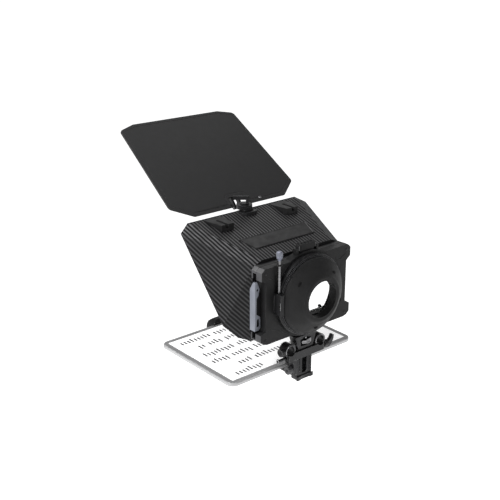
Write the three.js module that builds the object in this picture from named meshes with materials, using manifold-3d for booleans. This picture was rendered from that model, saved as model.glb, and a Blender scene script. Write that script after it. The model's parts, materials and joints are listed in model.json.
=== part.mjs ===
// Rod-mounted teleprompter: flared hood with a beam-splitter glass, lens ring,
// filter stage, folding flag, height-adjustable riser, tablet rail and tablet.
// Units are millimetres, +Z up. +Y points from the camera side to the reader.
// Origin: midway between the axes of the two support rods, in the plane of the
// filter stage's rear face. X = 0 is the symmetry plane.
import * as THREE from 'three';
import { mergeVertices } from 'three/addons/utils/BufferGeometryUtils.js';
import { ConvexGeometry } from 'three/addons/geometries/ConvexGeometry.js';
import Module from 'manifold-3d';

const wasm = await Module();
wasm.setup();

// ---------------------------------------------------------------- dimensions
const GAP = 0.3;                    // clearance between touching pieces

const ROD_PITCH = 60;               // centre distance of the two 15 mm rods
const ROD_BORE_R = 7.55;
const ROD_RING_R = 10.4;
const RING_Y0 = 1, RING_Y1 = 15;   // rod clamp length
const BAR_Y0 = -2, BAR_Z0 = -16, BAR_Z1 = -4, BAR_HALF = 35.6;
const LENS_Z = 85;                  // lens axis above the rod plane

const POST_HALF = 15, POST_Y0 = 2.6, POST_Y1 = 16, POST_Z0 = -47.5, POST_Z1 = -3.8;
const FOOT_Z0 = -54;
const LIFT = 28;                    // riser travel

const STAGE_HALF = 89, STAGE_Z0 = 25.5, STAGE_Z1 = 141.5;
const STAGE_SPLIT = 11.7;           // rear housing thickness
const STAGE_DEPTH = 22;             // both housings together
const WINDOW_HALF = 67, WINDOW_Z0 = 36, WINDOW_Z1 = 130;
const ARCH_R = 66;

const COLLAR_R = 62, DONUT_R = 57.5, DONUT_BORE_R = 27.6, DONUT_RIM_Y = -32.4;

const TOP_SLOPE = 34 / 130.8;       // rise of the hood roof towards the reader
const HOOD_Y0 = 22.3;
const HOOD_WALL = 2;
const MOUTH = [                     // outer corners of the hood mouth, right half
  [106.3, 144.8, 177.7], [124.4, 137.4, 167.3], [115, 52.6, 47.6], [100, 39.1, 28.6],
];

const FLAG_EDGE_Y = 148, FLAG_EDGE_Z = 184.1, FLAG_TILT = 33.2;
const FLAG_T = 2.2;
const FLAG_HALF = [[89.2, 0], [122, 23.75], [112.7, 190.5], [83.9, 199.6]];
const FLAG_NOTCH_HALF = 15, FLAG_NOTCH = 19;
const FLAG_PIVOT_S = 5.72, FLAG_PIVOT_N = -10.44;   // pivot in the flag's frame

const TAB_HALF = 123.8, TAB_Y0 = 22.9, TAB_Y1 = 201.4, TAB_TOP = -31.5, TAB_T = 5.9;
const SCREEN_INSET = 8.5;
const JAW_TRAVEL = 15;

// ------------------------------------------------------------------- helpers
const basis = (ax, ay, az) => new THREE.Matrix4().makeBasis(
  new THREE.Vector3(...ax), new THREE.Vector3(...ay), new THREE.Vector3(...az));
const AXIS_X = basis([0, 1, 0], [0, 0, 1], [1, 0, 0]);
const AXIS_Y = new THREE.Matrix4().makeRotationX(Math.PI / 2);

const shapeOf = (pts) => new THREE.Shape(pts.map(([a, b]) => new THREE.Vector2(a, b)));
const extrude = (pts, depth) =>
  new THREE.ExtrudeGeometry(shapeOf(pts), { depth, bevelEnabled: false, steps: 1 });
// prisms along each axis; the outline is given in the other two axes
const prismZ = (pts, z0, z1) => extrude(pts, z1 - z0).translate(0, 0, z0);
const prismY = (pts, y0, y1) => extrude(pts, y1 - y0).applyMatrix4(AXIS_Y).translate(0, y1, 0);
const prismX = (pts, x0, x1) => extrude(pts, x1 - x0).applyMatrix4(AXIS_X).translate(x0, 0, 0);
const box = (x0, x1, y0, y1, z0, z1) =>
  new THREE.BoxGeometry(x1 - x0, y1 - y0, z1 - z0)
    .translate((x0 + x1) / 2, (y0 + y1) / 2, (z0 + z1) / 2);
const cylZ = (cx, cy, r, z0, z1, n = 32, r2 = r) =>
  new THREE.CylinderGeometry(r2, r, z1 - z0, n).rotateX(Math.PI / 2).translate(cx, cy, (z0 + z1) / 2);
const cylY = (cx, cz, r, y0, y1, n = 32, r2 = r) =>
  new THREE.CylinderGeometry(r2, r, y1 - y0, n).translate(cx, (y0 + y1) / 2, cz);
const cylX = (cy, cz, r, x0, x1, n = 32) =>
  new THREE.CylinderGeometry(r, r, x1 - x0, n).rotateZ(Math.PI / 2).translate((x0 + x1) / 2, cy, cz);
// turned pieces: profile of [radius, height] pairs, closed on itself or on the axis
function lathe(pts, n) {
  let area = 0;
  for (let i = 0; i + 1 < pts.length; i++) area += pts[i][0] * pts[i + 1][1] - pts[i + 1][0] * pts[i][1];
  const profile = area > 0 ? pts : [...pts].reverse();
  return new THREE.LatheGeometry(profile.map(([r, h]) => new THREE.Vector2(r, h)), n);
}
const hull = (pts) => new ConvexGeometry(pts.map((p) => new THREE.Vector3(...p)));

function solid(geometry) {
  if (geometry instanceof wasm.Manifold) return geometry;
  const g0 = geometry.clone();
  g0.deleteAttribute('normal');
  g0.deleteAttribute('uv');
  const g = mergeVertices(g0, 1e-4);
  return new wasm.Manifold(new wasm.Mesh({
    numProp: 3,
    vertProperties: new Float32Array(g.attributes.position.array),
    triVerts: new Uint32Array(g.index.array),
  }));
}
const join = (...gs) => gs.map(solid).reduce((a, b) => a.add(b));
const cut = (a, ...gs) => gs.map(solid).reduce((m, b) => m.subtract(b), solid(a));
const common = (a, b) => solid(a).intersect(solid(b));

function geometryOf(item) {
  if (!(item instanceof wasm.Manifold)) return item;
  const m = item.getMesh();
  const g = new THREE.BufferGeometry();
  const p = new Float32Array(m.numVert * 3);
  for (let i = 0; i < m.numVert; i++) {
    for (let k = 0; k < 3; k++) p[3 * i + k] = m.vertProperties[m.numProp * i + k];
  }
  g.setAttribute('position', new THREE.BufferAttribute(p, 3));
  g.setIndex(new THREE.BufferAttribute(new Uint32Array(m.triVerts), 1));
  g.computeVertexNormals();
  return g;
}

const mat = (color, roughness, metalness, extra = {}) =>
  new THREE.MeshStandardMaterial({ color, roughness, metalness, flatShading: true, ...extra });
const M = {
  anodised: mat(0x26272a, 0.5, 0.6),
  plastic: mat(0x2b2b2d, 0.62, 0.0),
  carbon: mat(0x3a3a3d, 0.5, 0.1),
  rubber: mat(0x1f1f21, 0.85, 0.0),
  steel: mat(0xb9bcc0, 0.3, 1.0),
  blue: mat(0xa6acbd, 0.45, 0.5),
  glass: mat(0xdfe8ea, 0.05, 0.0, { transparent: true, opacity: 0.25 }),
  tablet: mat(0x9a9b9d, 0.4, 0.8),
  screen: mat(0xf4f4f4, 0.15, 0.0),
};

const prompter = new THREE.Group();
prompter.name = 'teleprompter';
function piece(name, shape, material, parent = prompter) {
  const mesh = new THREE.Mesh(geometryOf(shape), material);
  mesh.name = name;
  parent.add(mesh);
  return mesh;
}

const circlePts = (cx, cz, r, a0, a1, n) => Array.from({ length: n + 1 }, (_, i) => {
  const t = THREE.MathUtils.degToRad(a0 + ((a1 - a0) * i) / n);
  return [cx + r * Math.cos(t), cz + r * Math.sin(t)];
});
const roundRect = (x0, x1, y0, y1, r, n = 4) => [
  ...circlePts(x1 - r, y1 - r, r, 0, 90, n), ...circlePts(x0 + r, y1 - r, r, 90, 180, n),
  ...circlePts(x0 + r, y0 + r, r, 180, 270, n), ...circlePts(x1 - r, y0 + r, r, 270, 360, n),
];
// knurled outline: n shallow flutes
const fluted = (cx, cy, r, depth, n) => Array.from({ length: 2 * n }, (_, i) => {
  const t = (Math.PI * i) / n;
  const q = i % 2 ? r - depth : r;
  return [cx + q * Math.cos(t), cy + q * Math.sin(t)];
});

// ============================================================ ROD CLAMP (root)
const PIN_Y = 4.5, PIN_Z = -11;             // cross pin and wing lever axis
const THUMB_Y = 6;                        // rod thumbscrew axis
const KNOB_Y = 6, KNOB_Z = -33.5;           // height lock axis
{
  const RX = ROD_PITCH / 2;
  let body = join(
    box(-BAR_HALF, BAR_HALF, BAR_Y0, 11, BAR_Z0, BAR_Z1),
    cylY(-RX, 0, ROD_RING_R, RING_Y0, RING_Y1, 36),
    cylY(RX, 0, ROD_RING_R, RING_Y0, RING_Y1, 36),
    box(-24, -17.6, 0, 12, -41, -10),
  );
  body = cut(body,
    box(-15.5, 15.5, 2.2, 20, -60, 20),               // room for the riser post
    cylY(-RX, 0, ROD_BORE_R, -6, 16, 36),
    cylY(RX, 0, ROD_BORE_R, -6, 16, 36),
    cylX(PIN_Y, PIN_Z, 2.8, -40, -17, 20),
    cylX(PIN_Y, PIN_Z, 2.8, 17, 40, 20),
    cylX(THUMB_Y, 0, 2.5, -46, -35, 20),
    cylX(KNOB_Y, KNOB_Z, 3.2, -30, -17, 20),
  );
  // guide tongue that runs in the riser's slot
  body = join(body,
    box(-4.2, 4.2, 1.5, 6, BAR_Z0, BAR_Z1),
    box(-6.6, 6.6, 5.6, 9, BAR_Z0, BAR_Z1),
  );
  piece('rod_clamp_body', body, M.anodised);
}
piece('cross_pin', join(cylX(PIN_Y, PIN_Z, 2.4, -52, -19, 20), cylX(PIN_Y, PIN_Z, 3.4, -52.2, -50.2, 20)), M.steel);
piece('left_rod_thumbscrew',
  join(prismX(fluted(THUMB_Y, 0, 6.6, 0.7, 14), -46.4, -41.2), cylX(THUMB_Y, 0, 2.2, -42, -37.8, 20)), M.anodised);
{
  // hub, threaded shank and a curved finger lever
  piece('right_wing_lever', join(
    cylX(PIN_Y, PIN_Z, 5.4, 41.2, 48, 24),
    cylX(PIN_Y, PIN_Z, 2.4, 19, 42, 20),
    prismY([[43, -16.2], [50, -17.6], [55.4, -13.5], [59.2, -6.5], [60, 0.2], [57.2, 1.2], [54.2, -4.6], [49.6, -8.4], [43, -8.6]], PIN_Y - 3.2, PIN_Y + 3.2),
  ), M.anodised);
}
piece('height_lock_knob',
  join(prismX(fluted(KNOB_Y, KNOB_Z, 6.4, 0.7, 12), -32.2, -24.4), cylX(KNOB_Y, KNOB_Z, 2.9, -25, -15.4, 20)), M.anodised);

// ============================================================== RISER (mast)
{
  let post = cut(box(-POST_HALF, POST_HALF, POST_Y0, POST_Y1, POST_Z0, POST_Z1),
    box(-4.6, 4.6, 0, 6, POST_Z0 + 3.4, 5),
    box(-7, 7, 5.3, 9.4, POST_Z0 + 3.4, 5),
    box(-10.6, -9.4, 0, 3.6, POST_Z0 + 5, 5),
    box(9.4, 10.6, 0, 3.6, POST_Z0 + 5, 5));
  piece('riser_post', post, M.anodised);
}
piece('riser_foot', cut(
  prismZ([[-15, 2], [15, 2], [15, 15], [14, 16], [-14, 16], [-15, 15]], FOOT_Z0, POST_Z0 - GAP),
  cylZ(0, 9, 3.2, -60, -40, 20)), M.anodised);
piece('riser_foot_lip', prismZ([[-17, 1.5], [-15.8, -0.4], [-9.5, -0.4], [-7.5, 0.8], [7.5, 0.8], [9.5, -0.4], [15.8, -0.4], [17, 1.5],
  [16.5, 2 - GAP], [-16.5, 2 - GAP]], FOOT_Z0, POST_Z0 - GAP), M.anodised);
{
  const w = (z) => 15 + (6 * (z + 3.5)) / 22.2;
  let head = hull([[-w(-3.5), 0.6, -3.5], [w(-3.5), 0.6, -3.5], [-w(-3.5), 15.6, -3.5], [w(-3.5), 15.6, -3.5],
    [-w(18.7), -0.2, 18.7], [w(18.7), -0.2, 18.7], [-w(18.7), 15.6, 18.7], [w(18.7), 15.6, 18.7]]);
  head = cut(head, box(-9.6, 9.6, -3, 4.8, 2.2, 12.8));
  piece('riser_head', head, M.anodised);
}
piece('release_latch', cut(prismY([[-9.2, 4.6], [-7.2, 2.6], [9.2, 2.6], [9.2, 10.4], [7.2, 12.4], [-9.2, 12.4]], -1.6, 2.9),
  cylY(-3.4, 7.5, 2.6, -3, 0.9, 18)), M.steel);
piece('latch_screw', cut(cylY(-3.4, 7.5, 2.2, -1.2, 0.6, 18), box(-5, -1.8, -2, -0.5, 7.1, 7.9)), M.steel);

// ==================================================== FILTER STAGE (two halves)
const lugOutline = (recess0L, recess1L, recess0R, recess1R) => [
  [-77, STAGE_Z0], [77, STAGE_Z0], [84, 27.5], [STAGE_HALF, 32], [STAGE_HALF, recess0R - 6], [79.5, recess0R],
  [79.5, recess1R], [87.5, recess1R + 6.5], [87.5, 136.5], [82, STAGE_Z1],
  [-82, STAGE_Z1], [-87.5, 136.5], [-87.5, recess1L + 2.5], [-79.5, recess1L],
  [-79.5, recess0L], [-STAGE_HALF, recess0L - 3], [-STAGE_HALF, 32], [-84, 27.5],
];
const outline = lugOutline(45.5, 121.5, 51.5, 116.5);
const slotRim = (x, z, r) => Array.from({ length: 40 }, (_, i) => [x + r * Math.cos((i % 20) * Math.PI / 10), i < 20 ? 9 : 14, z + r * Math.sin((i % 20) * Math.PI / 10)]);
const ROD_X = -59.5, ROD_Y = -5;            // ring clamp screw axis
{
  let rear = join(prismY(outline, 0, STAGE_SPLIT),
    common(cylY(0, LENS_Z, ARCH_R, 0, STAGE_SPLIT, 64), box(-70, 70, -1, 20, 19, 150.6)),
    box(-21.4, -17.7, 1, 9.4, 148, 156.4), box(17.7, 21.4, 1, 9.4, 148, 156.4));
  rear = cut(rear,
    cylY(0, LENS_Z, 48.5, -1, 3.2, 72),
    box(-WINDOW_HALF, WINDOW_HALF, 3, 13, WINDOW_Z0, WINDOW_Z1),
    box(-14, 14, 2, 8.2, 144.5, 152),                     // pocket of the release tab
    box(-64, -55, -1, 2.2, 96, 145));                       // channel behind the clamp screw
  piece('rear_housing', rear, M.plastic);
}
{
  let front = cut(prismY(outline, STAGE_SPLIT + GAP, STAGE_DEPTH),
    box(-WINDOW_HALF, WINDOW_HALF, 10, 24, WINDOW_Z0, WINDOW_Z1),
    box(-95, 73.5, 10, 18.9, 33.4, 132.6));               // tray pocket, open on the left
  piece('front_housing', front, M.plastic);
}
{
  let tray = cut(box(-79.2, 72.8, 12.4, 18.5, 34, 132), box(-64.5, 66, 10, 20, 40, 126));
  tray = join(tray, box(-86.6, -79, 12.4, 18.4, 59, 105));
  piece('tray_frame', tray, M.anodised);
}
{
  // blue-grey pull: upright plate, two feet on the tray and a front web with an eye and a lanyard slot
  const plate = prismX([[10.4, 46.2], [21.4, 46.2], [21.4, 108.5], [14.2, 121], [10.4, 121]], -91, -88.5);
  const web = cut(prismY([[-90, 46.2], [-84, 46.2], [-80.8, 50], [-80.8, 66.5], [-84, 69], [-88, 72], [-88, 96], [-84.5, 100], [-82.5, 110], [-87, 121], [-90, 121]], 10.4, 12.1),
    cylY(-86, 108.5, 1.9, 9, 14, 20),
    hull([...slotRim(-85, 54.4, 2.5), ...slotRim(-85, 62, 2.5)]));
  piece('tray_handle', join(plate, web, box(-89, -86.9, 12.8, 18, 96, 104.4), box(-89, -86.9, 12.8, 18, 59.6, 66)), M.blue);
}

// ============================================================= LENS RING, DONUT
piece('lens_ring', cut(
  lathe([[52, 0.3], [COLLAR_R, 0.3], [COLLAR_R, 5.4], [60.6, 7], [59, 7], [59, 10], [52, 10], [52, 0.3]], 64)
    .rotateX(Math.PI).translate(0, 0, LENS_Z),
  box(-80, -53.6, -20, 5, 69.6, 102.4), box(-80, -56.4, -20, 5, 100, 112)), M.anodised);
piece('lens_donut',
  lathe([[DONUT_BORE_R, 32.4], [DONUT_BORE_R, 19], [31, 18.4], [47, 13], [47, 10.4], [DONUT_R, 10.4], [DONUT_R, 14.2],
    [55.6, 16], [36, 30.2], [32.4, 32.4], [DONUT_BORE_R, 32.4]], 64)
    .rotateX(Math.PI).translate(0, 0, LENS_Z), M.rubber);
piece('ring_clamp_block', cut(
  prismZ([[-65, -15], [-58.7, -15], [-58.7, -10], [-54, -10], [-54, -GAP], [-65, -GAP]], 70, 102), cylZ(ROD_X, ROD_Y, 2.5, 94.5, 105, 20)), M.anodised);
piece('clamp_screw_rod', cylZ(ROD_X, ROD_Y, 2.1, 95, 152.6, 20), M.steel);
piece('clamp_screw_knob', cut(join(
  prismZ(fluted(ROD_X, ROD_Y, 5.7, 0.55, 14), 155, 163.2),
  cylZ(ROD_X, ROD_Y, 3, 150.6, 155.2, 20, 5.1), cylZ(ROD_X, ROD_Y, 5.1, 163, 164.4, 20, 4)),
cylZ(ROD_X, ROD_Y, 2.4, 149, 153, 20)), M.blue);
piece('clamp_screw_ring', lathe(circlePts(3.5, 0, 0.95, 0, 360, 8), 20).rotateX(Math.PI / 2).translate(ROD_X, ROD_Y, 144), M.rubber);

piece('hood_release_tab', cut(join(
  hull([[-17, 1.2, 153.2], [17, 1.2, 153.2], [-17, 9.2, 153.2], [17, 9.2, 153.2],
    [-16, 2, 160], [16, 2, 160], [-16, 9.2, 162.4], [16, 9.2, 162.4]]),
  box(-13.4, 13.4, 2.5, 7.7, 148.2, 153.6)),
box(-14.5, 14.5, 6.2, 7.4, 158.6, 165)), M.plastic);

// ======================================================================= HOOD
const roofZ = (y) => 177.7 + (y - 144.8) * TOP_SLOPE;
const V = (p) => new THREE.Vector3(...p);
function planeThrough(a, b, c, inside) {
  const n = new THREE.Vector3().crossVectors(V(b).sub(V(a)), V(c).sub(V(a))).normalize();
  let d = n.dot(V(a));
  if (n.dot(V(inside)) > d) { n.negate(); d = -d; }
  return { n, d };
}
const mirror = ({ n, d }) => ({ n: new THREE.Vector3(-n.x, n.y, n.z), d });
const moved = (p, t) => ({ n: p.n, d: p.d + t });
// convex body bounded by planes n.p <= d
function bounded(planes) {
  const pts = [];
  for (let i = 0; i < planes.length; i++) for (let j = i + 1; j < planes.length; j++) for (let k = j + 1; k < planes.length; k++) {
    const [a, b, c] = [planes[i], planes[j], planes[k]];
    const bc = new THREE.Vector3().crossVectors(b.n, c.n);
    const det = a.n.dot(bc);
    if (Math.abs(det) < 1e-6) continue;
    const p = bc.multiplyScalar(a.d)
      .add(new THREE.Vector3().crossVectors(c.n, a.n).multiplyScalar(b.d))
      .add(new THREE.Vector3().crossVectors(a.n, b.n).multiplyScalar(c.d))
      .divideScalar(det);
    if (planes.every((q) => q.n.dot(p) <= q.d + 1e-5) && !pts.some((q) => q.distanceTo(p) < 1e-3)) pts.push(p);
  }
  return new ConvexGeometry(pts);
}
const IN = [0, 60, 110];
const R2 = [83.6, HOOD_Y0, 139.6], R3 = [93, HOOD_Y0, 42], R4 = [86, HOOD_Y0, 26.4];
const roof = planeThrough([0, 144.8, 177.7], [50, 144.8, 177.7], [0, HOOD_Y0, roofZ(HOOD_Y0)], IN);
const floorP = planeThrough([0, 39.1, 28.6], [50, 39.1, 28.6], [0, HOOD_Y0, R4[2]], IN);
const chamferTop = planeThrough(MOUTH[0], MOUTH[1], R2, IN);
const sideA = planeThrough(MOUTH[1], MOUTH[2], R2, IN);
const sideB = planeThrough(MOUTH[2], R3, R2, IN);
const chamferA = planeThrough(MOUTH[2], MOUTH[3], R4, IN);
const chamferB = planeThrough(MOUTH[2], R3, R4, IN);
const mouth = planeThrough([-50, 144.8, 177.7], [50, 144.8, 177.7], [0, 39.1, 28.6], IN);
const rearP = { n: new THREE.Vector3(0, -1, 0), d: -HOOD_Y0 };
const flanks = [chamferTop, sideA, sideB, chamferA, chamferB];
const walls = [roof, floorP, ...flanks, ...flanks.map(mirror)];
const inset = (t) => walls.map((p) => moved(p, -t));
// slab parallel to the mouth, between two depths behind it
const slab = (t, d0, d1) => bounded([...inset(t), moved(mouth, -d0), { n: mouth.n.clone().negate(), d: -(mouth.d - d1) }]);

piece('hood_shell', cut(bounded([...walls, mouth, rearP]),
  bounded([...inset(HOOD_WALL), moved(mouth, 20), moved(rearP, -HOOD_WALL)]),
  box(-70, 70, 20, 26, 33.4, 133)), M.carbon);

// three-sided ledge; the glass stands on the hood floor, held by two clips
piece('glass_frame', cut(slab(HOOD_WALL + GAP, 5, 9.5), slab(HOOD_WALL + 3.4, -5, 20), box(-140, 140, 0, 60, 0, 50)), M.anodised);
piece('glass_gasket', cut(slab(HOOD_WALL + 0.6, 4.1, 4.7), slab(HOOD_WALL + 3.1, 0, 10), box(-140, 140, 0, 60, 0, 50)), M.rubber);
piece('beam_splitter_glass', slab(HOOD_WALL + 0.6, 1.2, 3.8), M.glass);
for (const [name, x] of [['glass_clip_left', -68], ['glass_clip_right', 68]]) {
  const clip = common(slab(HOOD_WALL + 0.5, -1.8, 0.8), box(x - 2.6, x + 2.6, 30, 80, 20, 38.5));
  const trim = slab(HOOD_WALL + 5.4, -5, 20);
  piece(name, cut(clip, trim), M.anodised);
}

{
  const z = (y, t) => roofZ(y) + t;
  piece('label_plate', hull([
    [-65.6, 76.6, z(76.6, 0.35)], [65.6, 76.6, z(76.6, 0.35)], [-57.4, 46.6, z(46.6, 0.35)], [57.4, 46.6, z(46.6, 0.35)],
    [-65.2, 76.2, z(76.2, 1.4)], [65.2, 76.2, z(76.2, 1.4)], [-57.2, 47, z(47, 1.4)], [57.2, 47, z(47, 1.4)],
  ]), M.plastic);
  for (const [name, s] of [['anchor_pad_left', -1], ['anchor_pad_right', 1]]) {
    const pad = hull([[48, 140.5], [81, 140.5], [75, 103], [52.5, 103]].flatMap(([x, y]) => [
      [s * x, y, z(y, 0.35)], [s * x, y, 177.7]]));
    piece(name, cut(pad, box(Math.min(s * 63, s * 67.4), Math.max(s * 63, s * 67.4), 100, 127.5, 171.5, 180)), M.plastic);
  }
  piece('flag_shoe', hull([[-15, 144.3], [15, 144.3], [-15, 129], [15, 129], [-10, 125], [10, 125]].flatMap(([x, y]) => [
    [x, y, z(y, 0.35)], [x * 0.93, y, 178.2]])), M.anodised);
}

// ================================================================ FLAG HINGE
const PIVOT_Y = 158.5, PIVOT_Z = 178.5, WHEEL_Y = 142.5;
piece('flag_hinge_base', cut(join(
  prismZ([[-9, 131], [9, 131], [9, 150], [6, 153], [-6, 153], [-9, 150]], 178.5, 181.05),
  box(-3.6, 3.6, 150, 158.5, 176.7, 180.4), cylX(PIVOT_Y, PIVOT_Z, 3.2, -3.6, 3.6, 24)),
cylX(PIVOT_Y, PIVOT_Z, 1.75, -6, 6, 20)), M.anodised);
piece('flag_thumbwheel', cut(join(
  prismZ(fluted(0, WHEEL_Y, 12.4, 0.5, 28), 181.4, 183.7), cylZ(0, WHEEL_Y, 11.2, 183.5, 184.7, 32),
  prismZ(fluted(0, WHEEL_Y, 12.4, 0.5, 28), 184.5, 186.8)), cylZ(0, WHEEL_Y, 3, 180, 188, 20)), M.anodised);
{
  const a = [3, 137.6], b = [-14.6, 152.4];
  const L = Math.hypot(b[0] - a[0], b[1] - a[1]);
  const t = [(b[0] - a[0]) / L, (b[1] - a[1]) / L], n = [-t[1], t[0]];
  const q = (s, w) => [a[0] + t[0] * s + n[0] * w, a[1] + t[1] * s + n[1] * w];
  piece('flag_lock_lever', join(
    cylZ(0, WHEEL_Y, 6.4, 187.1, 189, 24),
    prismZ([q(-1.6, -1.5), q(3.2, -1.5), q(3.2, 1.5), q(-1.6, 1.5)], 187.2, 200),
    prismZ([q(-1.6, -1.5), q(L - 1, -1.5), q(L, -0.6), q(L, 0.6), q(L - 1, 1.5), q(-1.6, 1.5)], 194, 200)), M.anodised);
}

// ====================================================================== FLAG
const flag = new THREE.Group();
flag.name = 'flag';
flag.position.set(0, FLAG_EDGE_Y, FLAG_EDGE_Z);
flag.rotation.x = THREE.MathUtils.degToRad(FLAG_TILT);
prompter.add(flag);
{
  const right = FLAG_HALF.map(([w, s]) => [w, s]);
  const left = FLAG_HALF.map(([w, s]) => [-w, s]).reverse();
  const sheet = [[FLAG_NOTCH_HALF, 0], ...right, ...left, [-FLAG_NOTCH_HALF, 0],
    [-FLAG_NOTCH_HALF, FLAG_NOTCH - 3], [-FLAG_NOTCH_HALF + 3, FLAG_NOTCH], [FLAG_NOTCH_HALF - 3, FLAG_NOTCH], [FLAG_NOTCH_HALF, FLAG_NOTCH - 3]];
  piece('flag_panel', prismZ(sheet, -FLAG_T, 0), M.plastic, flag);
  const knuckle = (x0, x1) => hull([
    ...circlePts(FLAG_PIVOT_S, FLAG_PIVOT_N, 3.3, 0, 330, 11), [20, -FLAG_T - 0.4], [32, -FLAG_T - 0.4], [30, -5],
  ].flatMap(([s, n]) => [[x0, s, n], [x1, s, n]]));
  piece('flag_bracket', cut(join(
    prismZ([[-26, 22], [-24, 20], [24, 20], [26, 22], [26, 34], [24, 36], [-24, 36], [-26, 34]], -FLAG_T - 2.6, -FLAG_T - 0.35),
    knuckle(-8, -4), knuckle(4, 8)), cylX(FLAG_PIVOT_S, FLAG_PIVOT_N, 1.75, -10, 10, 20)), M.anodised, flag);
  piece('flag_hinge_pin', cylX(FLAG_PIVOT_S, FLAG_PIVOT_N, 1.45, -8.4, 8.4, 20), M.steel, flag);
  piece('flag_rivet', cylZ(40.6, 5.6, 2.6, GAP, 1.3, 20, 1.9), M.steel, flag);
}

// ==================================================================== TABLET
{
  const zb = TAB_TOP - TAB_T;
  let body = cut(prismZ(roundRect(-TAB_HALF, TAB_HALF, TAB_Y0, TAB_Y1, 7, 5), zb, TAB_TOP),
    prismZ(roundRect(-TAB_HALF + SCREEN_INSET, TAB_HALF - SCREEN_INSET, TAB_Y0 + SCREEN_INSET, TAB_Y1 - SCREEN_INSET, 2.5, 3), TAB_TOP - 1.2, TAB_TOP + 2),
    box(TAB_HALF - 1.6, TAB_HALF + 2, 176, 188, -36.1, -33.2), box(TAB_HALF - 1.6, TAB_HALF + 2, 148, 170, -36.1, -33.2));
  piece('tablet_body', body, M.tablet);
  const i = SCREEN_INSET + GAP;
  piece('tablet_screen', prismZ(roundRect(-TAB_HALF + i, TAB_HALF - i, TAB_Y0 + i, TAB_Y1 - i, 2.3, 3), TAB_TOP - 0.9, TAB_TOP - 0.1), M.screen);
  piece('tablet_power_button', box(TAB_HALF - 0.9, TAB_HALF + 0.6, 176.4, 187.6, -35.7, -33.6), M.tablet);
  piece('tablet_volume_button', box(TAB_HALF - 0.9, TAB_HALF + 0.6, 148.4, 169.6, -35.7, -33.6), M.tablet);
}

// =============================================================== TABLET HOLDER
const RAIL_Z = -46.5;
piece('tablet_rail', cut(box(-11, 11, POST_Y1 + 0.3, 196, -53, -40),
  cylY(0, RAIL_Z, 5, 112, 190, 20), cylY(0, RAIL_Z, 3.4, 180, 200, 20)), M.anodised);
piece('tablet_rest_pad', prismZ(roundRect(-10, 10, 28, 194, 3, 3), -39.7, -37.7), M.rubber);
piece('rear_jaw', prismX([[16.4, -39.7], [21.2, -39.7], [21.2, -31.1], [27, -31.1], [27, -29.6], [25.5, -28.4], [16.4, -28.4]], -17, 17), M.anodised);
piece('rear_jaw_pad', box(-16, 16, 21.5, 22.6, -39.2, -31.5), M.rubber);
piece('front_jaw', cut(prismX([[203.2, -53], [209, -53], [215, -45], [215, -28], [211, -24], [203, -24], [198.2, -27.4], [198.2, -31.1], [203.2, -31.1]], -22, 22),
  cylY(0, RAIL_Z, 3.3, 200, 206.6, 20)), M.anodised);
piece('front_jaw_pad', box(-20, 20, 201.7, 202.9, -39.5, -31.5), M.rubber);
piece('jaw_guide_rod', join(cylY(0, RAIL_Z, 3, 114, 206.3, 20), cylY(0, RAIL_Z, 4.6, 113.6, 118, 20)), M.steel);
{
  // return spring, drawn at its compressed length so that the jaw can open
  const y0 = 119, y1 = 189 - JAW_TRAVEL, turns = 7;
  class Helix extends THREE.Curve {
    getPoint(t, target = new THREE.Vector3()) {
      const a = t * turns * 2 * Math.PI;
      return target.set(4 * Math.cos(a), y0 + (y1 - y0) * t, RAIL_Z + 4 * Math.sin(a));
    }
  }
  piece('jaw_spring', new THREE.ExtrudeGeometry(shapeOf(circlePts(0, 0, 0.55, 0, 300, 5)), {
    steps: turns * 9, bevelEnabled: false, extrudePath: new Helix(),
  }), M.steel);
}

export default prompter;
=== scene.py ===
"""Looks for the rod-mounted teleprompter: materials, fine surfaces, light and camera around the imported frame."""
import bpy
import bmesh
import json
import math
import random
from mathutils import Matrix, Vector


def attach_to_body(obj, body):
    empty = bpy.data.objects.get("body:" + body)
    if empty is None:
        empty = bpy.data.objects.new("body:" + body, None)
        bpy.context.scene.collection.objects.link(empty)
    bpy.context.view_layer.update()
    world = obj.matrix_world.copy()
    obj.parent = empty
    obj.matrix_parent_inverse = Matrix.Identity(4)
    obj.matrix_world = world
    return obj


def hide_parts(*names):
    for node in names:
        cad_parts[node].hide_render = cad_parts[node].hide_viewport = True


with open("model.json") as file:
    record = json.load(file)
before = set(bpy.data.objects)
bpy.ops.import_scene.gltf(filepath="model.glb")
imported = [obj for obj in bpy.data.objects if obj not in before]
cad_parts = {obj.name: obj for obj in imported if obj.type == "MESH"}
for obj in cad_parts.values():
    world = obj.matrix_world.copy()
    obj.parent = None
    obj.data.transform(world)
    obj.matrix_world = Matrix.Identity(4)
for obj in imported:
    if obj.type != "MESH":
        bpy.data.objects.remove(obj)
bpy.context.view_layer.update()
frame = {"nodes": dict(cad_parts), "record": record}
NODES = frame["nodes"]
RECORD = frame["record"]
BODY_OF = {n: b for b, ns in RECORD["behaviour"]["bodies"].items() for n in ns}
SLOT_OF = {s["node"]: s["material_slot"] for s in RECORD["subparts"]}
MM = 0.001


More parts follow.
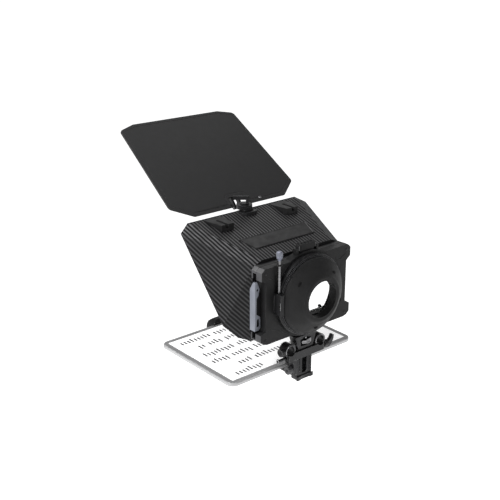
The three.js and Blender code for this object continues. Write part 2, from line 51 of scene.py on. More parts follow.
# ------------------------------------------------------------------ materials
class Mat:
    """Small wrapper that builds a node material."""

    def __init__(self, name):
        self.m = bpy.data.materials.new(name)
        self.m.use_nodes = True
        self.t = self.m.node_tree
        self.b = self.t.nodes["Principled BSDF"]
        self.coord = self.t.nodes.new("ShaderNodeTexCoord").outputs["Object"]

    def n(self, kind, **kw):
        node = self.t.nodes.new(kind)
        for k, v in kw.items():
            setattr(node, k, v)
        return node

    def link(self, a, b):
        self.t.links.new(a, b)

    def math(self, op, a, b=None, c=None, clamp=False):
        node = self.n("ShaderNodeMath", operation=op, use_clamp=clamp)
        for i, v in enumerate((a, b, c)):
            if v is None:
                continue
            if isinstance(v, (int, float)):
                node.inputs[i].default_value = v
            else:
                self.link(v, node.inputs[i])
        return node.outputs[0]

    def noise(self, scale, detail=4.0, rough=0.55, vec=None, dist=0.0):
        node = self.n("ShaderNodeTexNoise")
        node.inputs["Scale"].default_value = scale
        node.inputs["Detail"].default_value = detail
        node.inputs["Roughness"].default_value = rough
        node.inputs["Distortion"].default_value = dist
        self.link(vec or self.coord, node.inputs["Vector"])
        return node.outputs["Fac"]

    def voronoi(self, scale, feature="F1", vec=None, out="Distance"):
        node = self.n("ShaderNodeTexVoronoi", feature=feature)
        node.inputs["Scale"].default_value = scale
        self.link(vec or self.coord, node.inputs["Vector"])
        return node.outputs[out]

    def ramp(self, fac, stops):
        node = self.n("ShaderNodeValToRGB")
        cr = node.color_ramp
        while len(cr.elements) < len(stops):
            cr.elements.new(0.5)
        for e, (p, c) in zip(cr.elements, stops):
            e.position = p
            e.color = (*c, 1) if len(c) == 3 else c
        self.link(fac, node.inputs[0])
        return node.outputs[0]

    def remap(self, v, a, b, c, d):
        node = self.n("ShaderNodeMapRange")
        for i, x in enumerate((a, b, c, d)):
            node.inputs[1 + i].default_value = x
        self.link(v, node.inputs[0])
        return node.outputs[0]

    def mix(self, fac, a, b):
        node = self.n("ShaderNodeMix", data_type="RGBA")
        for sock, v in ((node.inputs[0], fac), (node.inputs[6], a), (node.inputs[7], b)):
            if isinstance(v, (int, float)):
                sock.default_value = v
            elif isinstance(v, tuple):
                sock.default_value = (*v, 1)
            else:
                self.link(v, sock)
        return node.outputs[2]

    def dot(self, vec3, offset=0.0):
        node = self.n("ShaderNodeVectorMath", operation="DOT_PRODUCT")
        self.link(self.coord, node.inputs[0])
        node.inputs[1].default_value = tuple(vec3)
        return self.math("ADD", node.outputs["Value"], offset)

    def bump(self, height, strength, distance, normal=None):
        node = self.n("ShaderNodeBump")
        node.inputs["Strength"].default_value = strength
        node.inputs["Distance"].default_value = distance
        self.link(height, node.inputs["Height"])
        if normal is not None:
            self.link(normal, node.inputs["Normal"])
        return node.outputs[0]

    def edge(self, radius=0.0006):
        """0 on flat areas, towards 1 near edges: the mask for rubbed wear and for painted edge highlights."""
        node = self.n("ShaderNodeBevel", samples=4)
        node.inputs["Radius"].default_value = radius
        geo = self.n("ShaderNodeNewGeometry")
        d = self.n("ShaderNodeVectorMath", operation="DOT_PRODUCT")
        self.link(node.outputs[0], d.inputs[0])
        self.link(geo.outputs["Normal"], d.inputs[1])
        return self.remap(d.outputs["Value"], 1.0, 0.86, 0.0, 1.0)

    def set(self, **kw):
        for k, v in kw.items():
            s = self.b.inputs[k.replace("_", " ")]
            if isinstance(v, (int, float)):
                s.default_value = v
            elif isinstance(v, tuple):
                s.default_value = (*v, 1) if len(v) == 3 else v
            else:
                self.link(v, s)
        return self.m


def grained(name, dark, light, rough=(0.42, 0.62), metallic=0.0, grain=2600, bump=0.25, bump_d=0.00006,
            rub_and_highlight_colour=(0.10, 0.10, 0.105), specular=0.5, rub_and_highlight_amount=0.5, coat=0.0):
    """Moulded or bead-blasted surface: fine grain, cloudy tone, edges lightened as rubbed wear and as painted edge
    highlights.
    """
    k = Mat(name)
    cloud = k.noise(28, 5, 0.6)
    fine = k.noise(grain, 3, 0.7)
    base = k.ramp(cloud, [(0.3, dark), (0.7, light)])
    speck = k.remap(fine, 0.35, 0.7, 0.0, 1.0)
    base = k.mix(k.math("MULTIPLY", speck, 0.35), base, tuple(min(1, c * 1.5) for c in light))
    scuff = k.remap(k.noise(160, 6, 0.75), 0.45, 0.75, 0.0, 1.0)
    # scuffed edges lightened: partly rubbed wear, partly a painted edge highlight
    worn = k.math("MULTIPLY", k.math("MULTIPLY", k.edge(), scuff), rub_and_highlight_amount, clamp=True)
    base = k.mix(worn, base, rub_and_highlight_colour)
    r = k.remap(k.noise(90, 5, 0.6), 0.3, 0.7, rough[0], rough[1])
    return k.set(Base_Color=base, Roughness=r, Metallic=metallic, Specular_IOR_Level=specular,
                 Coat_Weight=coat, Normal=k.bump(fine, bump, bump_d))


def brushed(name, dark, light, axis, rough=(0.16, 0.34), metallic=1.0, lines=900):
    """Turned or drawn metal: fine lines round or along one axis."""
    k = Mat(name)
    mp = k.n("ShaderNodeMapping")
    s = [lines * 0.02] * 3
    s[axis] = lines
    mp.inputs["Scale"].default_value = s
    k.link(k.coord, mp.inputs["Vector"])
    line = k.noise(3.0, 4, 0.7, vec=mp.outputs[0])
    base = k.ramp(line, [(0.3, dark), (0.72, light)])
    cloud = k.remap(k.noise(60, 4), 0.35, 0.7, 0.0, 0.3)
    base = k.mix(cloud, base, dark)
    return k.set(Base_Color=base, Roughness=k.remap(line, 0.3, 0.7, rough[0], rough[1]), Metallic=metallic,
                 Normal=k.bump(line, 0.12, 0.00004))


def striped(name, w, phase=0.0, dark=(0.0042, 0.0042, 0.0045), light=(0.082, 0.082, 0.085), duty=(0.12, 0.30)):
    """Woven stripes: w is the stripe gradient in cycles per millimetre."""
    w = Vector(w)
    pitch = MM / w.length
    along = w.cross(Vector((0.35, 0.75, 0.55))).normalized()
    k = Mat(name)
    wob = k.math("MULTIPLY", k.math("SUBTRACT", k.noise(45, 2), 0.5), 0.16)
    t = k.math("ADD", k.dot(w / MM, phase), wob)
    saw = k.math("FRACT", t)
    tri = k.math("ABSOLUTE", k.math("SUBTRACT", saw, 0.5))
    rib = k.remap(tri, duty[0], duty[1], 1.0, 0.0)
    fibre = k.math("SINE", k.math("MULTIPLY", t, 2 * math.pi * 7))
    rows = k.math("ADD", k.dot(along), k.math("MULTIPLY", saw, pitch * 0.9))
    cross = k.math("SINE", k.math("MULTIPLY", rows, 2 * math.pi / (pitch * 0.36)))
    weave = k.math("MULTIPLY", k.remap(cross, -1, 1, 0.62, 1.0), k.remap(fibre, -1, 1, 0.80, 1.0))
    cloud = k.remap(k.noise(13, 5, 0.65), 0.3, 0.7, 0.72, 1.15)
    fac = k.math("MULTIPLY", k.math("MULTIPLY", rib, weave), cloud, clamp=True)
    base = k.mix(fac, dark, light)
    worn = k.math("MULTIPLY", k.edge(0.0009), 0.3)
    base = k.mix(worn, base, (0.10, 0.10, 0.105))
    nb = k.bump(rib, 0.5, 0.0002)
    nb = k.bump(weave, 0.25, 0.00006, nb)
    return k.set(Base_Color=base, Roughness=k.remap(fac, 0, 1, 0.66, 0.40), Specular_IOR_Level=0.14, Normal=nb)


M = {
    "anodised_black": grained("anodised_black", (0.007, 0.007, 0.0075), (0.013, 0.013, 0.014), (0.28, 0.46), 0.25, 3800, 0.18,
                              0.00004, (0.30, 0.30, 0.31), 0.26, 0.9),
    "black_plastic": grained("black_plastic", (0.0065, 0.0065, 0.0068), (0.012, 0.012, 0.0124), (0.40, 0.58), 0.0, 2400, 0.35,
                             0.00007, (0.13, 0.13, 0.135), 0.17, 0.9),
    "flag_sheet": grained("flag_sheet", (0.0158, 0.0158, 0.0162), (0.0174, 0.0174, 0.0178), (0.52, 0.58), 0.0, 1900, 0.4,
                          0.00007, (0.06, 0.06, 0.063), 0.22, 0.4),
    "black_rubber": grained("black_rubber", (0.010, 0.010, 0.0105), (0.017, 0.017, 0.0175), (0.55, 0.72), 0.0, 1500, 0.4,
                            0.00008, (0.045, 0.045, 0.047), 0.25, 0.4),
    "steel": brushed("steel", (0.12, 0.12, 0.124), (0.36, 0.36, 0.37), 2),
    "blue_grey_metal": grained("blue_grey_metal", (0.15, 0.16, 0.19), (0.215, 0.228, 0.262), (0.3, 0.46), 0.45, 3200, 0.15,
                               0.00004, (0.70, 0.72, 0.78), 0.5, 0.6),
    "tablet_metal": grained("tablet_metal", (0.40, 0.40, 0.405), (0.46, 0.46, 0.465), (0.3, 0.42), 0.45, 4200, 0.1,
                            0.00003, (0.62, 0.62, 0.63), 0.5, 0.5),
}


def glass_material():
    k = Mat("clear_glass")
    smear = k.remap(k.noise(14, 5, 0.65), 0.35, 0.75, 0.0, 0.012)
    k.set(Base_Color=(0.97, 0.985, 0.985), Roughness=smear, IOR=1.01, Transmission_Weight=1.0, Specular_IOR_Level=0.5, Alpha=0.3,
          Coat_Weight=1.0, Coat_IOR=1.5, Coat_Roughness=0.02)
    return k.m


def screen_material():
    """White display under clear glass, a little uneven."""
    k = Mat("screen")
    paper = k.ramp(k.noise(3.0, 3), [(0.3, (0.86, 0.86, 0.865)), (0.7, (0.90, 0.90, 0.90))])
    glow = k.ramp(k.noise(5.0, 3), [(0.3, (0.93, 0.93, 0.935)), (0.7, (0.97, 0.97, 0.97))])
    return k.set(Base_Color=paper, Roughness=k.remap(k.noise(60, 4), 0.3, 0.7, 0.10, 0.18), Emission_Color=glow,
                 Emission_Strength=0.50, Coat_Weight=0.3, Coat_Roughness=0.06)


def ink_material():
    k = Mat("script_ink")
    base = k.ramp(k.noise(300, 3), [(0.3, (0.016, 0.016, 0.017)), (0.7, (0.030, 0.030, 0.032))])
    return k.set(Base_Color=base, Roughness=k.remap(k.noise(90, 3), 0.3, 0.7, 0.3, 0.42))


M["clear_glass"] = glass_material()
M["screen"] = screen_material()
M["ink"] = ink_material()
M["bezel"] = grained("tablet_bezel", (0.195, 0.195, 0.198), (0.235, 0.235, 0.238), (0.25, 0.4), 0.2, 3000, 0.1, 0.00003,
                     (0.4, 0.4, 0.41), 0.4, 0.3)
M["lens_dark"] = grained("camera_dot", (0.004, 0.004, 0.006), (0.010, 0.010, 0.013), (0.05, 0.12), 0.0, 900, 0.02, 0.00001,
                         (0.02, 0.02, 0.02), 0.5, 0.1)
M["donut_rubber"] = grained("donut_rubber", (0.0080, 0.0080, 0.0083), (0.0150, 0.0150, 0.0153), (0.50, 0.66), 0.0, 1300, 0.5,
                            0.00009, (0.05, 0.05, 0.051), 0.16, 0.7)
# near-black used for painted shade in slots, pockets, sockets, holes and notches
M["painted_shade_black"] = grained("painted_shade_black", (0.003, 0.003, 0.003), (0.006, 0.006, 0.006), (0.7, 0.85), 0.0, 1300, 0.4,
                          0.00008, (0.01, 0.01, 0.01), 0.12, 0.2)
# lighter black metal, used for rubbed parts and for painted highlights on knob and ring rims
M["wear_and_sheen_black"] = grained("wear_and_sheen_black", (0.030, 0.030, 0.032), (0.060, 0.060, 0.063), (0.28, 0.44), 0.4, 3400, 0.2,
                          0.00004, (0.35, 0.35, 0.36), 0.45, 0.8)
# painted light in two tones: a highlight tone for lit tops and edges, and a half-lit tone for lit sides
M["painted_highlight_black"] = grained("painted_highlight_black", (0.050, 0.050, 0.052), (0.085, 0.085, 0.088), (0.32, 0.46), 0.0, 2400, 0.35, 0.00007,
                       (0.25, 0.25, 0.26), 0.5, 0.8)
M["painted_half_light_black"] = grained("painted_half_light_black", (0.026, 0.026, 0.029), (0.042, 0.042, 0.046), (0.36, 0.5), 0.0, 2400, 0.35, 0.00007,
                        (0.2, 0.2, 0.21), 0.4, 0.8)
# clamp_black's strong light edges are mostly painted edge highlights, with some rubbed wear
M["clamp_black"] = grained("clamp_black", (0.010, 0.010, 0.0107), (0.022, 0.022, 0.0235), (0.20, 0.36), 0.45, 3800, 0.16,
                           0.00004, (0.50, 0.50, 0.51), 0.40, 1.6)
M["knob_blue"] = grained("knob_blue", (0.085, 0.09, 0.118), (0.160, 0.170, 0.215), (0.26, 0.42), 0.45, 1500, 0.5,
                         0.00009, (0.62, 0.64, 0.72), 0.5, 1.2)
M["pin_steel"] = brushed("pin_steel", (0.022, 0.022, 0.023), (0.10, 0.10, 0.104), 0)
M["bright_edge"] = brushed("bright_edge", (0.30, 0.30, 0.31), (0.62, 0.62, 0.63), 0)

# ------------------------------------------------------------- fine surfaces


def finish_mesh(o, angle=32.0):
    me = o.data
    for p in me.polygons:
        p.use_smooth = True
    me.set_sharp_from_angle(angle=math.radians(angle))


def cleaned(src, name, whole=True):
    """The node's solid as a new mesh, with shared vertices and, if asked, whole flat faces."""
    bm = bmesh.new()
    bm.from_mesh(src.data)
    bmesh.ops.remove_doubles(bm, verts=bm.verts, dist=2e-6)
    if whole:
        bmesh.ops.dissolve_limit(bm, angle_limit=math.radians(0.6), verts=bm.verts, edges=bm.edges)
    else:
        bmesh.ops.join_triangles(bm, faces=bm.faces, angle_face_threshold=math.radians(0.3),
                                 angle_shape_threshold=math.radians(80))
    bmesh.ops.recalc_face_normals(bm, faces=bm.faces)
    me = bpy.data.meshes.new(name)
    bm.to_mesh(me)
    bm.free()
    o = bpy.data.objects.new(name, me)
    bpy.context.scene.collection.objects.link(o)
    return o


def area_of(o):
    dg = bpy.context.evaluated_depsgraph_get()
    dg.update()
    me = o.evaluated_get(dg).to_mesh()
    me.calc_loop_triangles()
    return sum(t.area for t in me.loop_triangles)


def bevel(o, width, segments=2, angle=40.0):
    b = o.modifiers.new("bevel", "BEVEL")
    b.width = width
    b.segments = segments
    b.limit_method = "ANGLE"
    b.angle_limit = math.radians(angle)
    b.harden_normals = False
    b.miter_outer = "MITER_ARC"
    b.use_clamp_overlap = True
    return b


def bevel_outside(o, width, segments=2, angle=40.0):
    """Rounds only the outside corners, so that sliding fits keep their clearance."""
    bm = bmesh.new()
    bm.from_mesh(o.data)
    lay = bm.edges.layers.float.new("bevel_weight_edge")
    for e in bm.edges:
        sharp = len(e.link_faces) == 2 and e.is_convex and e.calc_face_angle(0) > math.radians(angle)
        e[lay] = 1.0 if sharp else 0.0
    bm.to_mesh(o.data)
    bm.free()
    b = bevel(o, width, segments, angle)
    b.limit_method = "WEIGHT"
    return b


def stand_for(o, node, material=None):
    if material is not None:
        o.data.materials.clear()
        o.data.materials.append(material)
    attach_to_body(o, BODY_OF[node])
    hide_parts(node)
    return o


def attach(o, node):
    """An extra piece that rides with a node's body."""
    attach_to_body(o, BODY_OF[node])
    return o


def new_object(name, bm, material, smooth=32.0):
    me = bpy.data.meshes.new(name)
    bmesh.ops.recalc_face_normals(bm, faces=bm.faces)
    bm.to_mesh(me)
    bm.free()
    o = bpy.data.objects.new(name, me)
    bpy.context.scene.collection.objects.link(o)
    me.materials.append(material)
    finish_mesh(o, smooth)
    return o


def turned(name, profile, centre, axis, material, n=96, smooth=28.0):
    """Lathe: profile of (radius, position along the axis) in mm, closed on itself."""
    bm = bmesh.new()
    a = Vector(axis).normalized()
    ref = Vector((0, 0, 1)) if abs(a.z) < 0.9 else Vector((1, 0, 0))
    u = a.cross(ref).normalized()
    v = a.cross(u)
    c = Vector(centre) * MM
    rings = []
    for r, h in profile:
        if r < 1e-6:
            rings.append([bm.verts.new(c + a * h * MM)])
            continue
        rings.append([bm.verts.new(c + a * h * MM + (u * math.cos(t) + v * math.sin(t)) * r * MM)
                      for t in (2 * math.pi * i / n for i in range(n))])
    for r0, r1 in zip(rings, rings[1:] + rings[:1]):
        if len(r0) == 1 and len(r1) == 1:
            continue
        for i in range(n):
            j = (i + 1) % n
            if len(r0) == 1:
                bm.faces.new((r0[0], r1[i], r1[j]))
            elif len(r1) == 1:
                bm.faces.new((r0[i], r1[0], r0[j]))
            else:
                bm.faces.new((r0[i], r1[i], r1[j], r0[j]))
    return new_object(name, bm, material, smooth)


BEVELS = {
    "rear_housing": 0.0011, "front_housing": 0.0011, "hood_shell": 0.0012, "flag_panel": 0.0005, "tablet_body": 0.0011,
    "tablet_screen": 0.0002, "beam_splitter_glass": 0.0004, "glass_gasket": 0.0001, "glass_frame": 0.0003,
    "riser_post": 0.0005, "riser_foot": 0.0009, "riser_head": 0.0009, "tablet_rail": 0.0008, "front_jaw": 0.0014,
    "rear_jaw": 0.0006, "anchor_pad_left": 0.0006, "anchor_pad_right": 0.0006, "label_plate": 0.0003,
    "rod_clamp_body": 0.0007, "right_wing_lever": 0.0010, "tray_handle": 0.0004, "tray_frame": 0.0004,
    "jaw_spring": 0.0, "clamp_screw_ring": 0.0, "lens_donut": 0.0004, "lens_ring": 0.0004,
    "release_latch": 0.0004, "latch_screw": 0.0002, "flag_rivet": 0.0003,
}
SLIDING = ("riser_post", "rod_clamp_body")
made = {}


def carry(node, material=None):
    src = NODES[node]
    want = sum(p.area for p in src.data.polygons)
    w = BEVELS.get(node, 0.0004)
    for whole in (True, False):
        o = cleaned(src, "fine_" + node, whole)
        finish_mesh(o)
        if w > 0:
            (bevel_outside if node in SLIDING else bevel)(o, w)
        if abs(area_of(o) / want - 1) < 0.06 or not whole:
            break
        bpy.data.objects.remove(o)
    stand_for(o, node, material or M[SLOT_OF[node]])
    made[node] = o
    return o


W_ROOF = (0.1830, -0.0080, -0.0021)
W_SIDE = (0.1566, -0.0407, 0.1342)
W_LOW = (0.1187, -0.0496, 0.1390)
SEAM = Vector((-100, 36, 90))
LOW_PHASE = SEAM.dot(Vector(W_SIDE)) - SEAM.dot(Vector(W_LOW))


def mirror(w):
    return (-w[0], w[1], w[2])


# one carbon weave per face group, with painted light and shade: chamfers lightest, then the roof, sides darker, low
# faces darkest
hood_lit_and_shaded_mats = [
    striped("carbon_roof", W_ROOF),
    striped("carbon_side_left", W_SIDE, light=(0.066, 0.066, 0.069)),
    striped("carbon_side_right", mirror(W_SIDE), light=(0.066, 0.066, 0.069)),
    striped("carbon_low_left", W_LOW, LOW_PHASE, light=(0.050, 0.050, 0.052)),
    striped("carbon_low_right", mirror(W_LOW), LOW_PHASE, light=(0.050, 0.050, 0.052)),
    striped("carbon_chamfer_left", W_SIDE, 0.0, light=(0.15, 0.15, 0.155)),
    striped("carbon_chamfer_right", mirror(W_SIDE), 0.0, light=(0.15, 0.15, 0.155)),
]


def make_hood():
    o = cleaned(NODES["hood_shell"], "hood_skin")
    me = o.data
    me.materials.clear()
    for m in hood_lit_and_shaded_mats:
        me.materials.append(m)
    me.materials.append(M["black_plastic"])
    centre = Vector((0, 0.075, 0.09))
    for p in me.polygons:
        n = p.normal
        ax = abs(n.x)
        left = n.x < 0
        # faces sorted by how they face, to take the lit or shaded copy
        idx = 7
        if n.dot(p.center - centre) > 0.01 and n.y < 0.05:
            if n.z > 0.95 and p.center.z > 0.12:
                idx = 0
            elif 0.3 < ax < 0.45 and n.z > 0.8:
                idx = 5 if left else 6
            elif ax > 0.85:
                idx = 1 if left else 2
            elif ax > 0.6:
                idx = 3 if left else 4
        p.material_index = idx
    finish_mesh(o, 20)
    bevel(o, BEVELS["hood_shell"], 3, 12)
    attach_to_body(o, "mast")
    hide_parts("hood_shell")
    made["hood_shell"] = o


# ------------------------------------------------------------------ flag
S_EDGE, S_Y, S_Z, S_TILT = 0.0, 148.0, 184.1, math.radians(33.2)


def flag_point(x, s, n):
    c, d = math.cos(S_TILT), math.sin(S_TILT)
    return Vector((x, S_Y + s * c - n * d, S_Z + s * d + n * c)) * MM


def rounded(points, radii, steps=7):
    """Polygon with each corner turned into an arc."""
    out = []
    m = len(points)
    for i, p in enumerate(points):
        p = Vector(p)
        a = (Vector(points[i - 1]) - p).normalized()
        b = (Vector(points[(i + 1) % m]) - p).normalized()
        half = math.acos(max(-1, min(1, a.dot(b)))) / 2
        r = radii[i]
        t = r / math.tan(half)
        c = p + (a + b).normalized() * (r / math.sin(half))
        p0, p1 = p + a * t, p + b * t
        a0 = math.atan2(p0.y - c.y, p0.x - c.x)
        a1 = math.atan2(p1.y - c.y, p1.x - c.x)
        d = (a1 - a0 + math.pi) % (2 * math.pi) - math.pi
        for j in range(steps + 1):
            q = a0 + d * j / steps
            out.append(c + Vector((math.cos(q), math.sin(q))) * r)
    return out


def inset(points, w):
    """Offset of a closed, counter-clockwise polygon."""
    out = []
    m = len(points)
    for i, p in enumerate(points):
        e0 = (p - points[i - 1]).normalized()
        e1 = (points[(i + 1) % m] - p).normalized()
        n0, n1 = Vector((-e0.y, e0.x)), Vector((-e1.y, e1.x))
        k = (n0 + n1)
        k = k / max(0.25, k.dot(n0))
        out.append(p + k * w)
    return out


def make_flag():
    outline = [(-89.2, 0), (-15, 0), (-15, 19), (15, 19), (15, 0), (89.2, 0), (122, 23.75), (112.7, 190.5),
               (83.9, 199.6), (-83.9, 199.6), (-112.7, 190.5), (-122, 23.75)]
    radii = [7, 1.5, 2.5, 2.5, 1.5, 7, 8, 8, 8, 8, 8, 8]
    ring = rounded([Vector(p) for p in outline], radii)
    levels = [(0.0, -2.2), (0.0, -0.35), (0.35, 0.0), (5.2, 0.0), (5.6, -0.30), (6.8, -0.30), (7.2, -0.04)]
    bm = bmesh.new()
    rows = [[bm.verts.new(flag_point(p.x, p.y, n)) for p in (inset(ring, w) if w else ring)] for w, n in levels]
    m = len(ring)
    for r0, r1 in zip(rows, rows[1:]):
        for i in range(m):
            j = (i + 1) % m
            bm.faces.new((r0[i], r0[j], r1[j], r1[i]))
    bm.faces.new(rows[-1])
    bm.faces.new(list(reversed(rows[0])))
    bmesh.ops.triangulate(bm, faces=[f for f in bm.faces if len(f.verts) > 4])
    o = new_object("flag_fine", bm, M["flag_sheet"], 25)
    stand_for(o, "flag_panel")
    made["flag_panel"] = o


# ------------------------------------------------------- tablet and its script
def make_tablet():
    ring = rounded([Vector(p) for p in ((-123.8, 22.9), (123.8, 22.9), (123.8, 201.4), (-123.8, 201.4))], [12.5] * 4, 14)
    # edge profile from the back face up to the glass
    prof = [(0.8, -37.4), (0.2, -37.2), (0.0, -36.8), (0.0, -33.0), (0.25, -32.2), (0.9, -31.75), (1.5, -31.62)]
    bm = bmesh.new()
    rows = [[bm.verts.new((p.x * MM, p.y * MM, z * MM)) for p in inset(ring, w)] for w, z in prof]
    m = len(ring)
    for r0, r1 in zip(rows, rows[1:]):
        for i in range(m):
            j = (i + 1) % m
            bm.faces.new((r0[i], r0[j], r1[j], r1[i]))
    bm.faces.new(list(reversed(rows[0])))
    bm.faces.new(rows[-1])
    o = new_object("tablet_fine", bm, M["tablet_metal"], 40)
    stand_for(o, "tablet_body")
    made["tablet_body"] = o
    # dark surround under the glass
    outer = inset(ring, 1.7)
    inner = rounded([Vector(p) for p in ((-115.6, 31.1), (115.6, 31.1), (115.6, 193.2), (-115.6, 193.2))], [2.5] * 4, 14)
    bm = bmesh.new()
    lo = [[bm.verts.new((p.x * MM, p.y * MM, z * MM)) for p in loop] for loop, z in
          ((outer, -31.70), (outer, -31.52), (inner, -31.52), (inner, -31.70))]
    for r0, r1 in zip(lo, lo[1:]):
        for i in range(m):
            j = (i + 1) % m
            bm.faces.new((r0[i], r0[j], r1[j], r1[i]))
    o = new_object("tablet_surround", bm, M["bezel"], 40)
    attach(o, "tablet_body")
    # camera dot
    o = turned("tablet_camera", [(0.0, 0.0), (1.6, 0.0), (1.6, 0.12), (1.2, 0.16), (0.0, 0.10)], (0, 27.0, -31.55), (0, 0, 1), M["lens_dark"], 32)
    attach(o, "tablet_body")


def make_script():
    """Rows of plain upright bars that stand in for lines of script."""
    rnd = random.Random(23)
    bm = bmesh.new()
    z0, z1 = -31.52, -31.44

    def block(x0, y0, x1, y1):
        c = [(x0, y0), (x1, y0), (x1, y1), (x0, y1)]
        lo_ = [bm.verts.new((x * MM, y * MM, z0 * MM)) for x, y in c]
        hi_ = [bm.verts.new((x * MM, y * MM, z1 * MM)) for x, y in c]
        bm.faces.new(hi_)
        bm.faces.new(list(reversed(lo_)))
        for i in range(4):
            j = (i + 1) % 4
            bm.faces.new((lo_[i], lo_[j], hi_[j], hi_[i]))

    # one upright bar per place: bottom and top above the row's base line
    T, PITCH = 2.9, 6.5
    bars = ((0, 9.2), (0, 9.2), (0, 9.2), (0, 9.2), (0, 12.6), (-3.4, 9.2))
    rows = [(171.0, -101.5, [9, 5, 7]), (145.5, -85.5, [2, 4, 6]), (116.5, -96.5, [9, 6, 4]), (92.0, -100.5, [5, 6, 5]),
            (65.0, -70.5, [4, 8, 4]), (40.0, -96.5, [8])]
    for y, x, words in rows:
        for count in words:
            for _ in range(count):
                if x + T > 108:
                    break
                y0, y1 = rnd.choice(bars)
                block(x, y + y0, x + T, y + y1)
                x += PITCH
            x += 6.4
    o = new_object("script_bars", bm, M["ink"], 30)
    attach(o, "tablet_screen")


# ------------------------------------------------------ stage, ring and donut
def make_donut():
    prof = [(27.6, 32.4), (27.6, 19.2), (27.9, 18.8), (31, 18.4), (47, 13), (47, 10.4), (57.5, 10.4), (57.5, 12.2), (57.1, 12.7),
            (57.1, 13.1), (57.5, 13.6), (57.4, 14.2), (57.0, 14.7), (55.6, 16.0), (54.6, 16.9), (54.2, 16.9), (53.7, 17.5)]
    # gently domed flank with two shallow steps
    for i in range(1, 12):
        t = i / 12
        r = 53.7 + (36.2 - 53.7) * t
        h = 17.5 + (30.1 - 17.5) * t + 0.9 * math.sin(math.pi * t)
        prof.append((r, h))
    prof += [(36.0, 30.4), (35.4, 31.0), (34.6, 31.5), (33.4, 32.0), (32.4, 32.3), (31.2, 32.4), (30.0, 32.1), (28.6, 32.3)]
    o = turned("donut_fine", prof, (0, 0, 85), (0, -1, 0), M["donut_rubber"], 128, 30)
    stand_for(o, "lens_donut")
    made["lens_donut"] = o
    # moulding notches in the flank, drawn as dark bumps of painted shade
    for ang, rad in ((51, 42), (-97, 44), (141, 47), (-20, 47)):
        a = math.radians(ang)
        bm = bmesh.new()
        bmesh.ops.create_uvsphere(bm, u_segments=20, v_segments=12, radius=1.0)
        t = (53.7 - rad) / 17.5
        h = 17.5 + 12.6 * t + 0.9 * math.sin(math.pi * t)
        m4 = Matrix.Translation(Vector((rad * math.cos(a), -h + 0.1, 85 + rad * math.sin(a))) * MM) @ \
            Matrix.Rotation(-a, 4, "Y") @ Matrix.Diagonal((3.0 * MM, 0.8 * MM, 3.8 * MM, 1))
        bmesh.ops.transform(bm, matrix=m4, verts=bm.verts)
        o = new_object("donut_pip_%d" % ang, bm, M["painted_shade_black"], 60)
        attach(o, "lens_donut")


def ring_arc(name, radius, tube, y, a0, a1, material, node, n=72, axis=(0, 85)):
    """A raised moulding line round the lens axis, or round another axis along Y."""
    bm = bmesh.new()
    rows = []
    for i in range(n + 1):
        a = math.radians(a0 + (a1 - a0) * i / n)
        d = Vector((math.cos(a), 0, math.sin(a)))
        c = Vector((axis[0], y, axis[1])) + d * radius
        rows.append([bm.verts.new((c + d * tube * math.cos(q) + Vector((0, -1, 0)) * tube * 0.7 * math.sin(q)) * MM)
                     for q in (2 * math.pi * j / 8 for j in range(8))])
    for r0, r1 in zip(rows, rows[1:]):
        for j in range(8):
            bm.faces.new((r0[j], r0[(j + 1) % 8], r1[(j + 1) % 8], r1[j]))
    bm.faces.new(rows[0])
    bm.faces.new(list(reversed(rows[-1])))
    o = new_object(name, bm, material, 50)
    attach(o, node)
    return o


def strip(name, pts, w, h, material, node, axis_n=(0, -1, 0)):
    """A thin raised bar through points, standing h mm off a face."""
    bm = bmesh.new()
    n = Vector(axis_n).normalized()
    for p, q in zip(pts, pts[1:]):
        p, q = Vector(p), Vector(q)
        d = (q - p).normalized()
        s_ = d.cross(n).normalized() * w / 2
        base = [p - s_, p + s_, q + s_, q - s_]
        top = [b + n * h + (s_ * (0.3 if i in (0, 3) else -0.3)) for i, b in enumerate(base)]
        vs = [bm.verts.new((v - n * 0.15) * MM) for v in base] + [bm.verts.new(v * MM) for v in top]
        bm.faces.new(vs[:4])
        bm.faces.new(vs[4:])
        for i in range(4):
            j = (i + 1) % 4
            bm.faces.new((vs[i], vs[j], vs[4 + j], vs[4 + i]))
    o = new_object(name, bm, material, 30)
    attach(o, node)
    return o


def washer(name, centre, axis, r0, r1, t, material, node, n=48):
    o = turned(name, [(r0, 0), (r1 - 0.15, 0), (r1, 0.15), (r1, t - 0.15), (r1 - 0.15, t), (r0, t)], centre, axis, material, n)
    attach(o, node)
    return o


def screw_head(name, centre, axis, r, material, node):
    """Socket screw head: rounded rim, round recess."""
    o = turned(name, [(0, 0.0), (r, 0.0), (r, 0.5), (r - 0.25, 0.75), (r * 0.58, 0.75), (r * 0.52, 0.15), (0, 0.15)],
               centre, axis, material, 36)
    attach(o, node)


